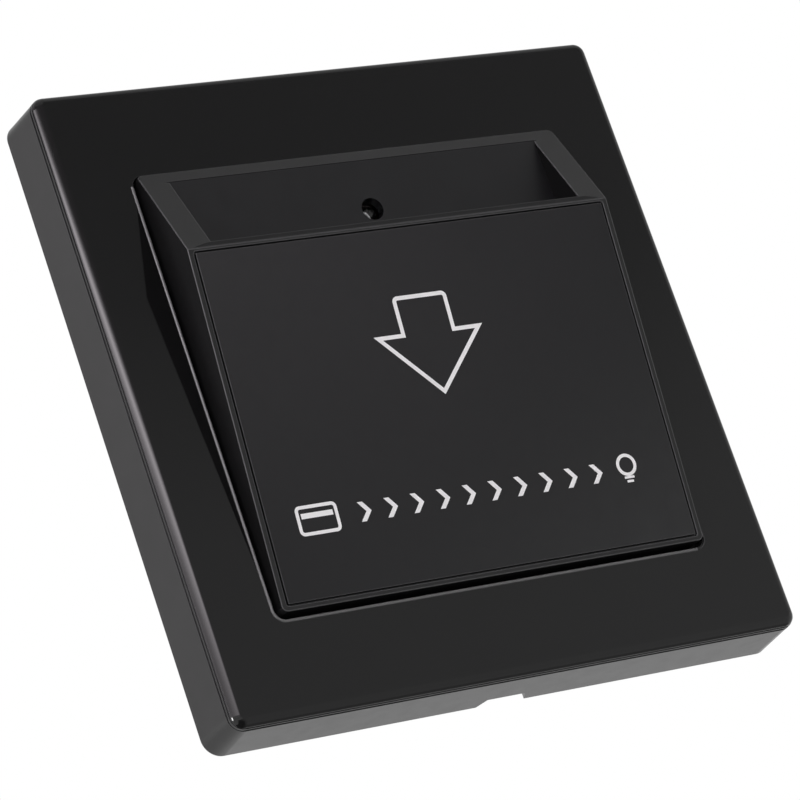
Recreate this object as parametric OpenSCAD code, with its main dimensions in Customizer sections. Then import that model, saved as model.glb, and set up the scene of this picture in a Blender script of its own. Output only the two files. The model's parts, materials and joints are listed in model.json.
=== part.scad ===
// Hotel key card switch: a flush wall switch that closes while a key card sits in its pocket.
// Sizes are in millimetres. X runs right along the wall, Z up the wall and -Y out of the wall,
// and the wall's surface is the plane Y = 0.
// Each piece is drawn lying down, with X right, Y up the wall and Z out of it, and is then stood up.

/* [Face frame] */
// width at the wall
frame_w = 86; // [85:0.5:92]
// height at the wall
frame_h = 89; // [88:0.5:95]
// height of the leaning side, from the wall to the fine step
side_h = 7.5; // [7.2:0.1:9]
// lean of each side over that height
side_draft = 0.4; // [0.1:0.1:0.7]
// rounding of the front edge
edge_r = 1.1; // [0.8:0.1:1.4]
// width of the ledges below and above the fine step
edge_step_w = 0.1; // [0.05:0.05:0.4]
// height of the fine step
edge_step_h = 0.5; // [0.15:0.05:0.6]
// corner radius at the wall
side_corner_r = 2.5; // [2.3:0.1:4]
// corner radius of the rounded front
front_corner_r = 1.6; // [1.5:0.1:3.5]
// thickness of the skirt at the wall
skirt_t = 2; // [1.8:0.1:2.4]
// thickness of the face
face_t = 2; // [1.6:0.1:2.4]
// width of the groove beside and below the wedge
groove_w = 0.6; // [0.4:0.05:0.8]
// radius of the fine bead along the groove
bead_r = 0.15; // [0.1:0.05:0.4]
// distance of the bead from the groove
bead_inset = 0.05; // [0.03:0.01:0.2]
// width of the pry notch at the wall
notch_w = 7.3; // [5:0.1:10]
// height of the pry notch
notch_h = 2.05; // [1:0.05:3]

/* [Card holder] */
// width of the wedge
holder_w = 63.6; // [62.5:0.1:65]
// lower end of the wedge, above the middle
foot_u = -30.7; // [-32:0.1:-30]
// height of the wedge's lower end over the face
foot_h = 1.15; // [0.9:0.05:1.6]
// place of the wedge's highest edge, above the middle
apex_u = 17; // [16:0.1:18]
// height of that edge over the face
apex_h = 7.1; // [6.8:0.1:8.5]
// upper end of the wedge, above the middle
top_u = 30.9; // [30.5:0.1:32]
// height of the upper end over the face
top_h = 0.5; // [0.3:0.05:0.7]
// corner radius of the wedge's outline
holder_corner_r = 0.8; // [0.4:0.1:1.2]
// width of the mouth
mouth_w = 55.8; // [55:0.1:57]
// rim behind the mouth
mouth_lip = 1.7; // [1.3:0.1:2]
// front edge of the mouth, past the highest edge
mouth_rim = 0.9; // [0.7:0.05:1.1]
// thickness of the front wall, panel included
front_t = 1.6; // [1.4:0.05:1.7]
// thickness of the front panel
panel_t = 0.6; // [0.5:0.05:0.7]
// bezel beside the panel
bezel_side_w = 0.75; // [0.5:0.05:1.2]
// bezel below the panel
bezel_foot = 0.65; // [0.5:0.05:1.2]
// bezel above the panel
bezel_top = 0.4; // [0.35:0.05:0.8]
// groove between panel and bezel
panel_gap = 0.25; // [0.1:0.05:0.3]
// depth of the card channel behind the front wall
card_gap = 1.6; // [1.4:0.05:1.8]
// lower end of the card channel, above the middle
pocket_end_u = -27.5; // [-28:0.1:-26.5]
// thickness of the pocket's back
back_t = 1.5; // [1.3:0.1:1.6]

/* [Lever and switch] */
// pivot's distance from the wall
pivot_o = 3; // [2.8:0.1:3.2]
// radius of the pivot pin
pin_r = 1; // [0.8:0.05:1.1]
// width of the lever
lever_w = 10; // [9:0.5:10]
// thickness of the lever's arm
lever_t = 2.4; // [2:0.1:2.6]
// width of the lever's nose
nose_w = 6; // [4:0.5:7]
// distance from the pivot down to the switch's plunger
lever_reach = 10; // [9.5:0.1:10.5]
// length of the switch
switch_l = 19.8; // [18:0.1:21]
// width of the switch
switch_w = 6.4; // [5.5:0.1:6.6]
// radius of the switch's plunger
plunger_r = 1.2; // [1:0.05:1.4]

/* [Wall fixing] */
// distance between the fixing screws
fixing_pitch = 60.3; // [60:0.1:60.6]
// width of the fixing slots
slot_w = 4; // [3.8:0.1:4.6]
// length of the fixing slots
slot_l = 7; // [6:0.1:8]
// thickness of the mounting frame
mount_t = 2.2; // [2:0.1:2.4]

/* [Rear housing] */
// width behind the wall
housing_w = 50; // [49:0.5:52]
// height behind the wall
housing_h = 54; // [53:0.5:56]
// depth behind the wall
housing_d = 20; // [19:0.5:22]
// wall thickness
housing_t = 1.6; // [1.4:0.1:1.8]
// distance between terminals
terminal_pitch = 10; // [9.5:0.1:10.2]
// radius of the wire holes
wire_r = 2; // [1.6:0.1:2.2]

/* [Lamp] */
// radius of the lamp
led_r = 1.5; // [1.4:0.05:1.6]
// depth of the lamp's tip below the pocket's back
led_sink = 0.9; // [0.3:0.05:1.2]

/* [Hidden] */
$fn = 64;
// clearances: a turning fit, the lamp's hole, a loose fit in one body, the wedge's upper end in the
// face's opening, and pieces that pass each other
turn_gap = 0.03;
led_gap = 0.1;
seat_gap = 0.1;
opening_gap = 0.1;
pass_gap = 0.3;
// a cut reaches this far past the surface that it opens
past = 1;

// the face and the wedge
step_o = side_h + edge_step_h;
face_o = step_o + edge_r;
under_o = face_o - face_t;
step_inset = side_draft + edge_step_w;
cap_inset = step_inset + edge_step_w;
step_corner_r = (side_corner_r - side_draft + front_corner_r) / 2;
front_slope = (apex_h - foot_h) / (apex_u - foot_u);
front_tilt = atan(front_slope);
front_len = (apex_u - foot_u) / cos(front_tilt);
slant_slope = (apex_h - top_h) / (top_u - apex_u);
mouth_front_u = apex_u + mouth_rim;
mouth_back_u = top_u - mouth_lip;
holder_h = top_u - foot_u;
holder_mid_u = (top_u + foot_u) / 2;
opening_w = holder_w + 2 * groove_w;
opening_low_u = foot_u - groove_w;
opening_high_u = top_u + opening_gap;
opening_h = opening_high_u - opening_low_u;
opening_mid_u = (opening_high_u + opening_low_u) / 2;
opening_r = holder_corner_r + groove_w;
flange_t = 1.5;
flange_lip = 3;
flange_o = under_o - flange_t;
lead_in = 2.2;
notch_lean_w = 0.8;
notch_top_w = notch_w - 2 * notch_lean_w;

// the front panel
recess_w = holder_w - 2 * bezel_side_w;
recess_l = front_len - bezel_foot - bezel_top;
recess_r = 0.4;

// distances from the wall along the wedge, at a place u above the middle
function front_o(u) = face_o + foot_h + (u - foot_u) * front_slope;
function inner_o(u) = front_o(u) - front_t / cos(front_tilt);
function channel_o(u) = inner_o(u) - card_gap / cos(front_tilt);
function slant_o(u) = face_o + top_h + (top_u - u) * slant_slope;

// the pocket's back: flat behind the mouth, then along the card channel
back_o = slant_o(mouth_back_u);
bend_u = foot_u + (back_o - channel_o(foot_u)) / front_slope;
ledge = 1.3;
ledge_foot = 1.2;
back_end_u = pocket_end_u - ledge_foot;

// the mounting frame and its clips
mount_gap = 0.7;
mount_w = frame_w - 2 * skirt_t - 2 * mount_gap;
mount_h = frame_h - 2 * skirt_t - 2 * mount_gap;
mount_r = 1.5;
window_rim = 0.8;
window_x = housing_w / 2 - housing_t - window_rim;
window_y = housing_h / 2 - housing_t - window_rim;
clip_t = 0.5;
clip_l = 8;
clip_u = 20;
clip_foot = 5;
clip_h = 4;
clip_top_o = mount_t + clip_h;

// the board and its screws
board_t = 1.6;
board_o = -10;
board_back_o = board_o - board_t;
board_side_gap = 1;
board_w = housing_w - 2 * housing_t - 2 * board_side_gap;
board_h = housing_h - 2 * housing_t - 2 * board_side_gap;
post_inset = 2.8;
post_x = board_w / 2 - post_inset;
post_y = board_h / 2 - post_inset;
post_r = 2.5;
board_screw_r = 0.95;
board_screw_len = 4.5;
board_head_r = 1.9;
board_head_t = 1.3;

// the pieces on the board, placed downwards from its upper screws
relay_size = [19, 15.5, 15.5];
relay_gap = 0.4;
relay_x = -20;
relay_at = [relay_x, post_y - board_head_r - relay_gap - relay_size[1]];
film_size = [18, 6, 12];
film_gap = 1.7;
film_x = 2;
film_at = [film_x, post_y - board_head_r - film_gap - film_size[1]];
resistor_r = 1.2;
resistor_len = 6;
resistor_rise = 1.4;
resistor_lead_r = 0.3;
resistor_lead_len = 0.8;
resistor_reach = resistor_len / 2 + resistor_lead_len;
resistor_inset = 5.4;
smooth_r = 4;
smooth_len = 11.5;
smooth_gap = 0.6;
smooth_u = film_at[1] - smooth_gap - smooth_r;
resistor_at = [board_w / 2 - resistor_inset, smooth_u];
smooth_at = [resistor_at[0] - resistor_reach - 2 * smooth_gap - smooth_r, smooth_u];

// the lever's bar, just below the relay, and the pivot below the bar
bar_gap = 0.8;
bar_h = 4;
bar_high_u = relay_at[1] - bar_gap;
bar_low_u = bar_high_u - bar_h;
pivot_drop = 3;
pivot_u = bar_low_u - pivot_drop;
switch_u = pivot_u - lever_reach;

// the lever
hub_wall = 1.2;
hub_r = pin_r + hub_wall;
arm_back_o = pivot_o - lever_t / 2;
arm_front_o = pivot_o + lever_t / 2;
nose_drop = 7.5;
nose_ramp = 4.9;
nose_l = 6.9;
nose_top_u = pivot_u - nose_drop;
nose_crest_u = nose_top_u - nose_ramp;
nose_low_u = nose_top_u - nose_l;
nose_flat = 1.2;
nose_relief = 0.8;
nose_rise = 1.5;
nose_tip_o = inner_o(nose_crest_u) - pass_gap;
nose_side_gap = 0.6;
nose_swing = 1.4;
arm_past = 0.6;
arm_end_u = nose_low_u - arm_past;
window_w = nose_w + 2 * nose_side_gap;
window_low_u = nose_low_u - nose_swing;
window_high_u = nose_top_u;
ear_t = 2;
lever_side_gap = 0.5;
ear_margin = 0.3;
ear_x = lever_w / 2 + lever_side_gap;
pin_reach = ear_x + ear_t + seat_gap;
ear_low_u = pivot_u - hub_r - ear_margin;
ear_back_o = pivot_o - hub_r - ear_margin;
ear_front_o = pivot_o + hub_r + ear_margin;

// the switch and the lever's spring
contact_gap = 0.1;
plunger_tip_o = arm_back_o - contact_gap;
plunger_out = 2;
switch_top_o = plunger_tip_o - plunger_out;
plunger_in = 3;
plunger_end_o = switch_top_o - plunger_in;
plunger_room = 2;
spring_w = 4;
spring_t = 0.3;
spring_reach = 5.6;
spring_end_u = pivot_u - spring_reach;

// the lamp, at the upper edge of the mounting frame's window
spacer_r = 2.4;
spacer_gap = 0.2;
led_u = window_y - spacer_r - spacer_gap;
led_len = 5.3;
led_base_o = back_o - led_sink - led_len;
led_flange = 0.4;
led_flange_r = led_r + led_flange;
led_flange_t = 1;

// pins that go through the board, as places on it
pin_past = 1.6;
pin_gap = 0.1;
switch_pin_pitch = 8.8;
switch_pin_size = [0.6, 2];
switch_pins_at = [for (i = [-1:1]) [i * switch_pin_pitch, switch_u]];
relay_coil_x = 3;
relay_contact_x = 15;
relay_common_x = 17;
relay_pin_edge = 2;
relay_pin_size = [0.8, 1];
relay_pin_rows = [relay_pin_edge, relay_size[1] - relay_pin_edge];
relay_corner_pins = [for (x = [relay_coil_x, relay_contact_x], y = relay_pin_rows) [x, y]];
relay_pins_at = [for (p = concat(relay_corner_pins, [[relay_common_x, relay_size[1] / 2]])) relay_at + p];
led_lead_pitch = 2.54;
led_lead_size = [0.5, 0.5];
led_leads_at = [for (side = [-1, 1]) [side * led_lead_pitch / 2, led_u]];

// the joint of housing and mounting frame
ear_screw_x = 17;
ear_out = 2.8;
ear_screw_u = housing_h / 2 + ear_out;
ear_w = 8;
ear_h = 7.2;
ear_d = 6;
ear_screw_r = 1.25;
ear_screw_len = 5;
ear_head_r = 2.5;
ear_head_t = 1.7;

// the terminals
terminals_at = [for (i = [-1.5:1:1.5]) i * terminal_pitch];
block_plate_t = 1.5;
block_rib_t = 1.6;
block_inset = 3;
block_h = 13;
block_low_u = block_inset - housing_h / 2;
block_high_u = block_low_u + block_h;
block_d = 11;
block_back_o = -housing_d - block_d;
clamp_side_gap = 0.5;
clamp_w = terminal_pitch - block_rib_t - 2 * clamp_side_gap;
clamp_l = 9;
clamp_d = 8.5;
clamp_high_u = block_high_u - block_rib_t - seat_gap;
clamp_o = -housing_d - block_plate_t;
wire_depth = 3.7;
wire_o = clamp_o - wire_depth;
screw_r = 1.7;
screw_gap = 0.1;
screw_tip_gap = 0.5;
screw_out = 1;
screw_head_r = 2.6;
screw_head_t = 1.8;
drive_slot = 0.8;
tail_w = 4;
tail_t = 0.8;
tail_rise = 6.2;
tail_u = block_low_u + tail_rise;

// Stands a piece up on the wall.
module on_wall() rotate([90, 0, 0]) children();

// Extends a side view, drawn as height up the wall and distance out of it, evenly to both sides.
module across(width) translate([-width / 2, 0, 0]) rotate([90, 0, 90]) linear_extrude(width) children();

// Puts a piece on the wedge's front: X right, Y up the slope from its lower edge, Z out of it.
module on_front() translate([0, foot_u, face_o + foot_h]) rotate([front_tilt, 0, 0]) children();

module rounded_outline(w, h, r) {
    square([w - 2 * r, h], center = true);
    square([w, h - 2 * r], center = true);
    for (x = [-1, 1], y = [-1, 1]) translate([x * (w / 2 - r), y * (h / 2 - r)]) circle(r);
}

module rounded_plate(w, h, r, low, high) {
    translate([0, 0, low]) linear_extrude(high - low) rounded_outline(w, h, r);
}

// Runs an edge profile round a rounded outline. The profile's X counts out from the corner's centre.
module edge_ring(w, h, r) {
    for (turn = [0, 180]) rotate(turn) {
        translate([w / 2 - r, 0, 0]) rotate([90, 0, 0]) linear_extrude(h - 2 * r, center = true) children();
        translate([0, h / 2 - r, 0]) rotate([90, 0, 90]) linear_extrude(w - 2 * r, center = true) children();
    }
    for (i = [0:3]) {
        side = [[1, 1], [-1, 1], [-1, -1], [1, -1]][i];
        translate([side[0] * (w / 2 - r), side[1] * (h / 2 - r), 0])
            rotate(90 * i) rotate_extrude(angle = 90) children();
    }
}

module block(low, high) translate(low) cube(high - low);

// Fills what an edge ring goes round.
module ring_middle(w, h, r, low, high) block([r - w / 2, r - h / 2, low], [w / 2 - r, h / 2 - r, high]);

// A box of the given size standing on the board at a place.
module on_board(at, size) translate([at[0], at[1], board_o]) cube(size);

module pins(places, size, from_o, to_o) {
    for (p = places) translate([p[0] - size[0] / 2, p[1] - size[1] / 2, from_o])
        cube([size[0], size[1], to_o - from_o]);
}

module pin_holes(places, size) {
    pins(places, size + [2 * pin_gap, 2 * pin_gap], board_back_o - past, board_o + past);
}

module board_posts() {
    for (x = [-1, 1], y = [-1, 1]) translate([x * post_x, y * post_y, 0]) children();
}

module ear_screws() {
    for (x = [-1, 1], y = [-1, 1]) translate([x * ear_screw_x, y * ear_screw_u, 0]) children();
}

// A screw that points into the wall, its head standing on the plane head_o.
module wall_screw(shank_r, len, head_r, head_t, head_o) {
    difference() {
        union() {
            translate([0, 0, head_o]) cylinder(r = head_r, h = head_t);
            translate([0, 0, head_o - len]) cylinder(r = shank_r, h = len);
        }
        block([-head_r - past, -drive_slot / 2, head_o + head_t / 2],
            [head_r + past, drive_slot / 2, head_o + head_t + past]);
    }
}

module frame_side() {
    edge_ring(frame_w, frame_h, side_corner_r)
        polygon([[0, 0], [side_corner_r, 0], [side_corner_r - side_draft, side_h], [0, side_h]]);
    ring_middle(frame_w, frame_h, side_corner_r, 0, side_h);
}

module frame_step() {
    w = frame_w - 2 * step_inset;
    h = frame_h - 2 * step_inset;
    edge_ring(w, h, step_corner_r) translate([0, side_h]) square([step_corner_r, edge_step_h]);
    ring_middle(w, h, step_corner_r, side_h, step_o);
}

module frame_cap() {
    r = front_corner_r;
    w = frame_w - 2 * cap_inset;
    h = frame_h - 2 * cap_inset;
    ring_middle(w, h, r, step_o, face_o);
    edge_ring(w, h, r) {
        translate([0, step_o]) square([r - edge_r, edge_r]);
        translate([r - edge_r, step_o]) intersection() {
            circle(edge_r);
            square(edge_r);
        }
    }
}

// A fine bead that runs down one side of the groove, round the lower corners and up the other side.
module frame_bead() {
    turn_r = opening_r + bead_inset + bead_r;
    turn_x = opening_w / 2 - opening_r;
    turn_u = opening_low_u + opening_r;
    side_l = opening_high_u - opening_r - turn_u;
    for (side = [-1, 1]) {
        translate([side * (turn_x + turn_r), turn_u, face_o]) {
            rotate([-90, 0, 0]) cylinder(r = bead_r, h = side_l);
            translate([0, side_l, 0]) sphere(bead_r);
        }
        translate([side * turn_x, turn_u, face_o]) rotate(side < 0 ? 180 : -90)
            rotate_extrude(angle = 90) translate([turn_r, 0]) circle(bead_r);
    }
    translate([-turn_x, turn_u - turn_r, face_o]) rotate([0, 90, 0]) cylinder(r = bead_r, h = 2 * turn_x);
}

module pry_notch() {
    translate([0, skirt_t + past - frame_h / 2, 0]) rotate([90, 0, 0]) linear_extrude(skirt_t + 2 * past)
        polygon([[-notch_w / 2, -past], [notch_w / 2, -past], [notch_w / 2, 0],
            [notch_top_w / 2, notch_h], [-notch_top_w / 2, notch_h], [-notch_w / 2, 0]]);
}

module face_frame() color("#242424") on_wall() {
    difference() {
        union() {
            frame_side();
            frame_step();
            frame_cap();
            frame_bead();
        }
        rounded_plate(frame_w - 2 * skirt_t, frame_h - 2 * skirt_t, mount_r, -past, under_o);
        translate([0, opening_mid_u, 0])
            rounded_plate(opening_w, opening_h, opening_r, 0, face_o + bead_r + past);
        pry_notch();
    }
}

module wedge() {
    intersection() {
        across(holder_w + 2 * past) polygon([
            [foot_u - past, flange_o], [foot_u - past, front_o(foot_u - past)],
            [apex_u, face_o + apex_h], [top_u + past, slant_o(top_u + past)], [top_u + past, flange_o]]);
        translate([0, holder_mid_u, 0])
            rounded_plate(holder_w, holder_h, holder_corner_r, 0, face_o + 2 * apex_h);
    }
}

module holder_flange() {
    w = holder_w + 2 * flange_lip;
    h = holder_h + 2 * flange_lip;
    translate([0, holder_mid_u, 0]) rounded_plate(w, h, flange_lip, flange_o, under_o);
}

module card_pocket() {
    lead_u = mouth_front_u - lead_in;
    out_o = face_o + 2 * apex_h;
    across(mouth_w) polygon([[pocket_end_u, flange_o - past], [pocket_end_u, inner_o(pocket_end_u)],
        [lead_u, inner_o(lead_u)], [mouth_front_u, slant_o(mouth_front_u)], [mouth_front_u, out_o],
        [mouth_back_u, out_o], [mouth_back_u, flange_o - past]]);
}

module back_seat() {
    across(mouth_w + 2 * ledge) polygon([[back_end_u, flange_o - past], [back_end_u, channel_o(back_end_u)],
        [bend_u, back_o], [mouth_back_u, back_o], [mouth_back_u, flange_o - past]]);
}

module panel_outline(shrink) {
    rounded_outline(recess_w - 2 * shrink, recess_l - 2 * shrink, recess_r - shrink);
}

module panel_place(from, to) {
    on_front() translate([0, bezel_foot + recess_l / 2, from]) linear_extrude(to - from) children();
}

module card_holder() color("#2b2b2d") on_wall() {
    difference() {
        union() {
            wedge();
            holder_flange();
        }
        card_pocket();
        back_seat();
        panel_place(-panel_t, past) panel_outline(0);
    }
}

module pocket_back() color("#262628") on_wall() {
    low_u = back_end_u + seat_gap;
    high_u = mouth_back_u - seat_gap;
    difference() {
        across(mouth_w + 2 * ledge - 2 * seat_gap) polygon([
            [low_u, channel_o(low_u) - back_t], [low_u, channel_o(low_u)], [bend_u, back_o],
            [high_u, back_o], [high_u, back_o - back_t], [bend_u, back_o - back_t]]);
        translate([0, led_u, 0]) cylinder(r = led_r + led_gap, h = back_o + past);
        block([-window_w / 2, window_low_u, 0], [window_w / 2, window_high_u, back_o]);
    }
}

module front_panel() color("#303032") on_wall() panel_place(-panel_t, 0) panel_outline(panel_gap);

module fixing_slot() {
    reach = (slot_l - slot_w) / 2;
    translate([0, 0, -past]) linear_extrude(mount_t + 2 * past) {
        square([2 * reach, slot_w], center = true);
        for (x = [-reach, reach]) translate([x, 0]) circle(slot_w / 2);
    }
}

module pivot_ears() {
    for (x = [-ear_x - ear_t, ear_x]) block([x, ear_low_u, ear_back_o], [x + ear_t, bar_high_u, ear_front_o]);
}

module mounting_frame() color("#3a3a3c") on_wall() {
    difference() {
        union() {
            difference() {
                rounded_plate(mount_w, mount_h, mount_r, 0, mount_t);
                block([-window_x, -window_y, -past], [window_x, window_y, mount_t + past]);
            }
            block([-window_x - past, bar_low_u, 0], [window_x + past, bar_high_u, mount_t]);
            pivot_ears();
        }
        for (x = [-1, 1]) translate([x * fixing_pitch / 2, 0, 0]) fixing_slot();
        ear_screws() translate([0, 0, -past]) cylinder(r = ear_screw_r + seat_gap, h = mount_t + 2 * past);
        translate([-pin_reach - past, pivot_u, pivot_o]) rotate([0, 90, 0])
            cylinder(r = pin_r + turn_gap, h = 2 * pin_reach + 2 * past);
    }
}

module frame_clip() {
    edge = mount_w / 2;
    outer = edge + seat_gap + clip_t;
    translate([0, clip_l / 2, 0]) rotate([90, 0, 0]) linear_extrude(clip_l)
        polygon([[edge - clip_foot, mount_t], [outer, mount_t], [outer, clip_top_o - clip_t],
            [edge, clip_top_o], [edge - clip_t, clip_top_o], [outer - clip_t, clip_top_o - 2 * clip_t],
            [outer - clip_t, mount_t + clip_t], [edge - clip_foot, mount_t + clip_t]]);
}

module frame_clips() color("#b8bcc0") on_wall() {
    for (turn = [0, 180], u = [-clip_u, clip_u]) rotate(turn) translate([0, u, 0]) frame_clip();
}

module housing_ears() {
    ear_screws() block([-ear_w / 2, -ear_h / 2, -ear_d], [ear_w / 2, ear_h / 2, 0]);
}

module tail_slots(low, high) {
    w = tail_w / 2 + seat_gap;
    t = tail_t / 2 + seat_gap;
    for (x = terminals_at) translate([x, tail_u, 0]) block([-w, -t, low], [w, t, high]);
}

module rear_housing() color("#d9d9d4") on_wall() {
    inner_w = housing_w - 2 * housing_t;
    inner_h = housing_h - 2 * housing_t;
    floor_o = housing_t - housing_d;
    difference() {
        union() {
            difference() {
                rounded_plate(housing_w, housing_h, mount_r, -housing_d, 0);
                block([-inner_w / 2, -inner_h / 2, floor_o], [inner_w / 2, inner_h / 2, past]);
            }
            housing_ears();
            board_posts() translate([0, 0, floor_o]) cylinder(r = post_r, h = board_back_o - floor_o);
        }
        ear_screws() translate([0, 0, -ear_d + seat_gap]) cylinder(r = ear_screw_r + turn_gap, h = ear_d);
        board_posts() translate([0, 0, floor_o]) cylinder(r = board_screw_r + turn_gap, h = housing_d);
        tail_slots(-housing_d - past, floor_o + past);
    }
}

module housing_screws() color("#c8c8c8") on_wall() {
    ear_screws() wall_screw(ear_screw_r, ear_screw_len + mount_t, ear_head_r, ear_head_t, mount_t);
}

module lever_nose() {
    across(nose_w) polygon([[nose_top_u, arm_front_o - past], [nose_top_u, arm_front_o],
        [nose_top_u - nose_rise, channel_o(nose_top_u)], [nose_crest_u, nose_tip_o],
        [nose_crest_u - nose_flat, nose_tip_o], [nose_low_u, nose_tip_o - nose_relief],
        [nose_low_u, arm_front_o - past]]);
}

module card_lever() color("#e8e6df") on_wall() {
    difference() {
        union() {
            block([-lever_w / 2, arm_end_u, arm_back_o], [lever_w / 2, pivot_u, arm_front_o]);
            translate([-lever_w / 2, pivot_u, pivot_o]) rotate([0, 90, 0]) cylinder(r = hub_r, h = lever_w);
            lever_nose();
        }
        translate([-lever_w, pivot_u, pivot_o]) rotate([0, 90, 0])
            cylinder(r = pin_r + turn_gap, h = 2 * lever_w);
    }
}

module pivot_pin() color("#c8ccd0") on_wall() {
    translate([-pin_reach, pivot_u, pivot_o]) rotate([0, 90, 0]) cylinder(r = pin_r, h = 2 * pin_reach);
}

module lever_spring() color("#c79a52") on_wall() {
    tip_o = arm_back_o - contact_gap;
    hook_u = spring_end_u - past;
    across(spring_w) polygon([[bar_high_u, 0], [bar_low_u, 0], [spring_end_u, tip_o],
        [hook_u, tip_o - spring_t], [hook_u, tip_o - 2 * spring_t], [spring_end_u, tip_o - spring_t],
        [bar_low_u, -spring_t], [bar_high_u, -spring_t]]);
}

module switch_case() color("#1d1d1f") on_wall() {
    difference() {
        block([-switch_l / 2, switch_u - switch_w / 2, board_o],
            [switch_l / 2, switch_u + switch_w / 2, switch_top_o]);
        translate([0, switch_u, plunger_end_o - plunger_room])
            cylinder(r = plunger_r + turn_gap, h = housing_d);
    }
}

module switch_plunger() color("#b03028") on_wall() {
    dome_o = plunger_tip_o - plunger_r;
    translate([0, switch_u, plunger_end_o]) cylinder(r = plunger_r, h = dome_o - plunger_end_o);
    translate([0, switch_u, dome_o]) sphere(plunger_r);
}

module switch_pins() color("#d8c070") on_wall() {
    pins(switch_pins_at, switch_pin_size, board_back_o - pin_past, board_o);
}

module circuit_board() color("#1f6b3a") on_wall() {
    difference() {
        block([-board_w / 2, -board_h / 2, board_back_o], [board_w / 2, board_h / 2, board_o]);
        pin_holes(switch_pins_at, switch_pin_size);
        pin_holes(relay_pins_at, relay_pin_size);
        pin_holes(led_leads_at, led_lead_size);
        board_posts() translate([0, 0, board_back_o - past])
            cylinder(r = board_screw_r + seat_gap, h = board_t + 2 * past);
    }
}

module board_screws() color("#c8c8c8") on_wall() {
    board_posts() wall_screw(board_screw_r, board_screw_len + board_t, board_head_r, board_head_t, board_o);
}

module indicator_led() color("#eaf2ea") on_wall() translate([0, led_u, led_base_o]) {
    cylinder(r = led_flange_r, h = led_flange_t);
    cylinder(r = led_r, h = led_len - led_r);
    translate([0, 0, led_len - led_r]) sphere(led_r);
}

module led_spacer() color("#e4e4e0") on_wall() {
    difference() {
        translate([0, led_u, board_o]) cylinder(r = spacer_r, h = led_base_o - board_o);
        pins(led_leads_at, led_lead_size + [2 * pin_gap, 2 * pin_gap], board_o - past, led_base_o + past);
    }
}

module led_leads() color("#cfd3d6") on_wall() {
    pins(led_leads_at, led_lead_size, board_back_o - pin_past, led_base_o);
}

module relay() color("#2a4f8f") on_wall() on_board(relay_at, relay_size);

module relay_pins() color("#d8c070") on_wall() {
    pins(relay_pins_at, relay_pin_size, board_back_o - pin_past, board_o);
}

module film_capacitor() color("#d9b83a") on_wall() on_board(film_at, film_size);

module smoothing_capacitor() color("#22324a") on_wall() {
    translate([smooth_at[0], smooth_at[1], board_o]) cylinder(r = smooth_r, h = smooth_len);
}

module series_resistor() color("#c9b48a") on_wall() translate([resistor_at[0], resistor_at[1], board_o]) {
    translate([0, 0, resistor_rise]) rotate([0, 90, 0]) {
        cylinder(r = resistor_r, h = resistor_len, center = true);
        cylinder(r = resistor_lead_r, h = 2 * resistor_reach, center = true);
    }
    for (x = [-resistor_reach, resistor_reach]) translate([x, 0, 0])
        cylinder(r = resistor_lead_r, h = resistor_rise + resistor_lead_r);
}

module terminal_block() color("#e9e7df") on_wall() {
    half = 2 * terminal_pitch + block_rib_t / 2;
    difference() {
        union() {
            block([-half, block_low_u, -housing_d - block_plate_t], [half, block_high_u, -housing_d]);
            block([-half, block_high_u - block_rib_t, block_back_o], [half, block_high_u, -housing_d]);
            for (i = [-2:2]) translate([i * terminal_pitch, 0, 0])
                block([-block_rib_t / 2, block_low_u, block_back_o],
                    [block_rib_t / 2, block_high_u, -housing_d]);
        }
        tail_slots(clamp_o - past, past - housing_d);
    }
}

module terminal_clamps() color("#c9a24a") on_wall() {
    for (x = terminals_at) translate([x, 0, 0]) difference() {
        block([-clamp_w / 2, clamp_high_u - clamp_l, clamp_o - clamp_d],
            [clamp_w / 2, clamp_high_u, clamp_o]);
        translate([0, clamp_high_u + past, wire_o]) rotate([90, 0, 0])
            cylinder(r = wire_r, h = clamp_l + 2 * past);
        translate([0, clamp_high_u - clamp_l / 2, clamp_o - clamp_d - past])
            cylinder(r = screw_r + screw_gap, h = wire_o - clamp_o + clamp_d + past);
    }
}

module terminal_screws() color("#b9bdc1") on_wall() {
    tip_o = wire_o - wire_r - screw_tip_gap;
    head_o = clamp_o - clamp_d - screw_out;
    for (x = terminals_at) translate([x, clamp_high_u - clamp_l / 2, 0]) mirror([0, 0, 1])
        wall_screw(screw_r, tip_o - head_o, screw_head_r, screw_head_t, -head_o);
}

module terminal_tails() color("#c9a24a") on_wall() {
    for (x = terminals_at) translate([x, tail_u, 0])
        block([-tail_w / 2, -tail_t / 2, clamp_o], [tail_w / 2, tail_t / 2, board_back_o]);
}

face_frame();
card_holder();
pocket_back();
front_panel();
mounting_frame();
frame_clips();
rear_housing();
housing_screws();
card_lever();
pivot_pin();
lever_spring();
switch_case();
switch_plunger();
switch_pins();
circuit_board();
board_screws();
indicator_led();
led_spacer();
led_leads();
relay();
relay_pins();
film_capacitor();
smoothing_capacitor();
series_resistor();
terminal_block();
terminal_clamps();
terminal_screws();
terminal_tails();
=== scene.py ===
"""Dresses the key card switch and shows it in a white studio."""
import json
import math

import bmesh
import bpy
from mathutils import Matrix, Vector


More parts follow.
